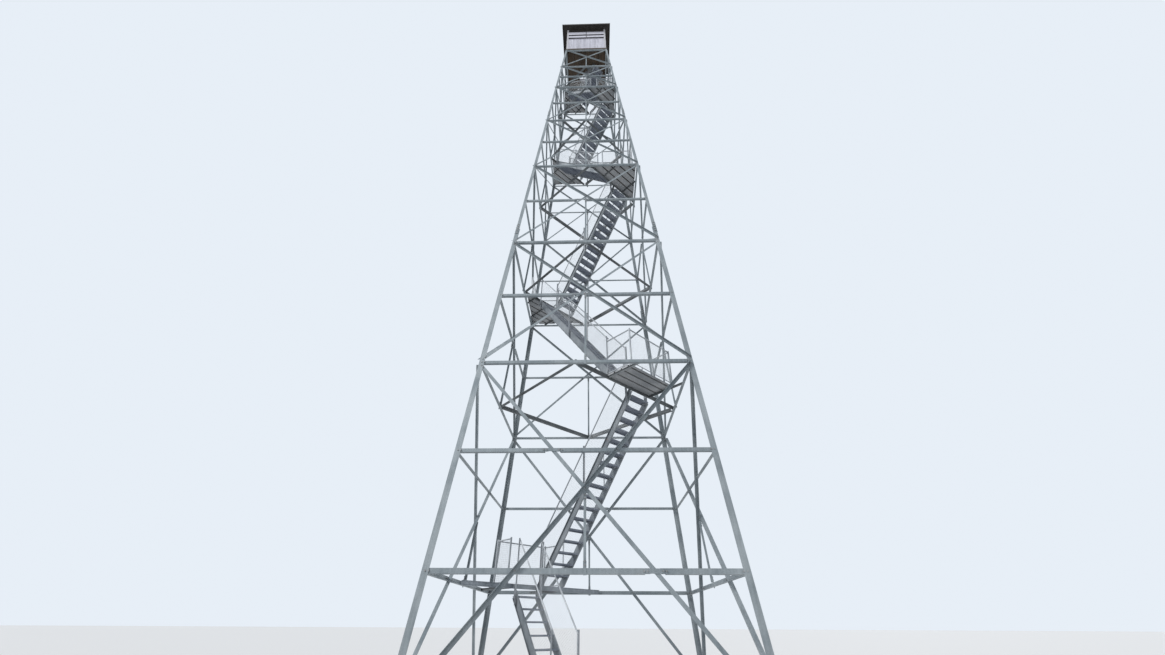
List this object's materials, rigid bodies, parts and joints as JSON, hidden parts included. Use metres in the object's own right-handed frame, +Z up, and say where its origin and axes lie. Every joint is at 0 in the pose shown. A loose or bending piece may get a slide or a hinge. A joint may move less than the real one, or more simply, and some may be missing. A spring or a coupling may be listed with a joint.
{
  "type": "fire lookout tower",
  "caption": "Tall steel lookout tower: leaning angle-iron legs, X-braced open sides, zigzag stairs with landings and a small hip-roofed cab.",
  "frame": {"origin": "on the ground at the tower's axis, midway between the four feet", "axes": "+Z up the tower, -Y towards the front face, +X to its right"},
  "size_m": [6.1634, 6.1634, 30.0189],
  "materials": {
    "leg_steel": "weathered galvanised steel",
    "bar_steel": "weathered galvanised steel",
    "deck_steel": "galvanised steel, dulled and faintly rusty",
    "stair_steel": "weathered galvanised steel",
    "rail_steel": "galvanised pipe and angle",
    "wall_boards": "painted vertical boards, faded grey",
    "floor_timber": "brown weathered timber",
    "trim_timber": "faded pale paint on timber",
    "eave_timber": "dark painted timber",
    "roof_metal": "dark painted sheet roofing"
  },
  "bodies": {
    "root": {"back_braces": "bar_steel", "back_plates": "bar_steel", "back_struts": "bar_steel", "cab_ceiling": "eave_timber", "cab_corner_posts": "trim_timber", "cab_floor": "floor_timber", "cab_headers": "trim_timber", "cab_joists": "floor_timber", "cab_rim_joists": "floor_timber", "cab_roof": "roof_metal", "cab_sills": "trim_timber", "cab_wall_back": "wall_boards", "cab_wall_front": "wall_boards", "cab_wall_left": "wall_boards", "cab_wall_right": "wall_boards", "flight_1_treads": "deck_steel", "flight_2_treads": "deck_steel", "flight_3_treads": "deck_steel", "flight_4_treads": "deck_steel", "flight_5_treads": "deck_steel", "flight_6_treads": "deck_steel", "flight_7_treads": "deck_steel", "flight_8_treads": "deck_steel", "foot_plates": "leg_steel", "front_braces": "bar_steel", "front_plates": "bar_steel", "front_struts": "bar_steel", "guard_posts": "rail_steel", "guard_rails": "rail_steel", "handrail_posts": "rail_steel", "handrails": "rail_steel", "hatch_trimmers": "floor_timber", "landing_beams": "bar_steel", "landing_bearers": "bar_steel", "landing_decks": "deck_steel", "left_braces": "bar_steel", "left_plates": "bar_steel", "left_struts": "bar_steel", "leg_back_left": "leg_steel", "leg_back_right": "leg_steel", "leg_front_left": "leg_steel", "leg_front_right": "leg_steel", "plan_bracing": "bar_steel", "right_braces": "bar_steel", "right_plates": "bar_steel", "right_struts": "bar_steel", "roof_cap": "roof_metal", "roof_fascia": "eave_timber", "splice_plates": "leg_steel", "stair_stringers": "stair_steel", "window_boards": "trim_timber", "window_mullions": "trim_timber"}
  },
  "joints": []
}
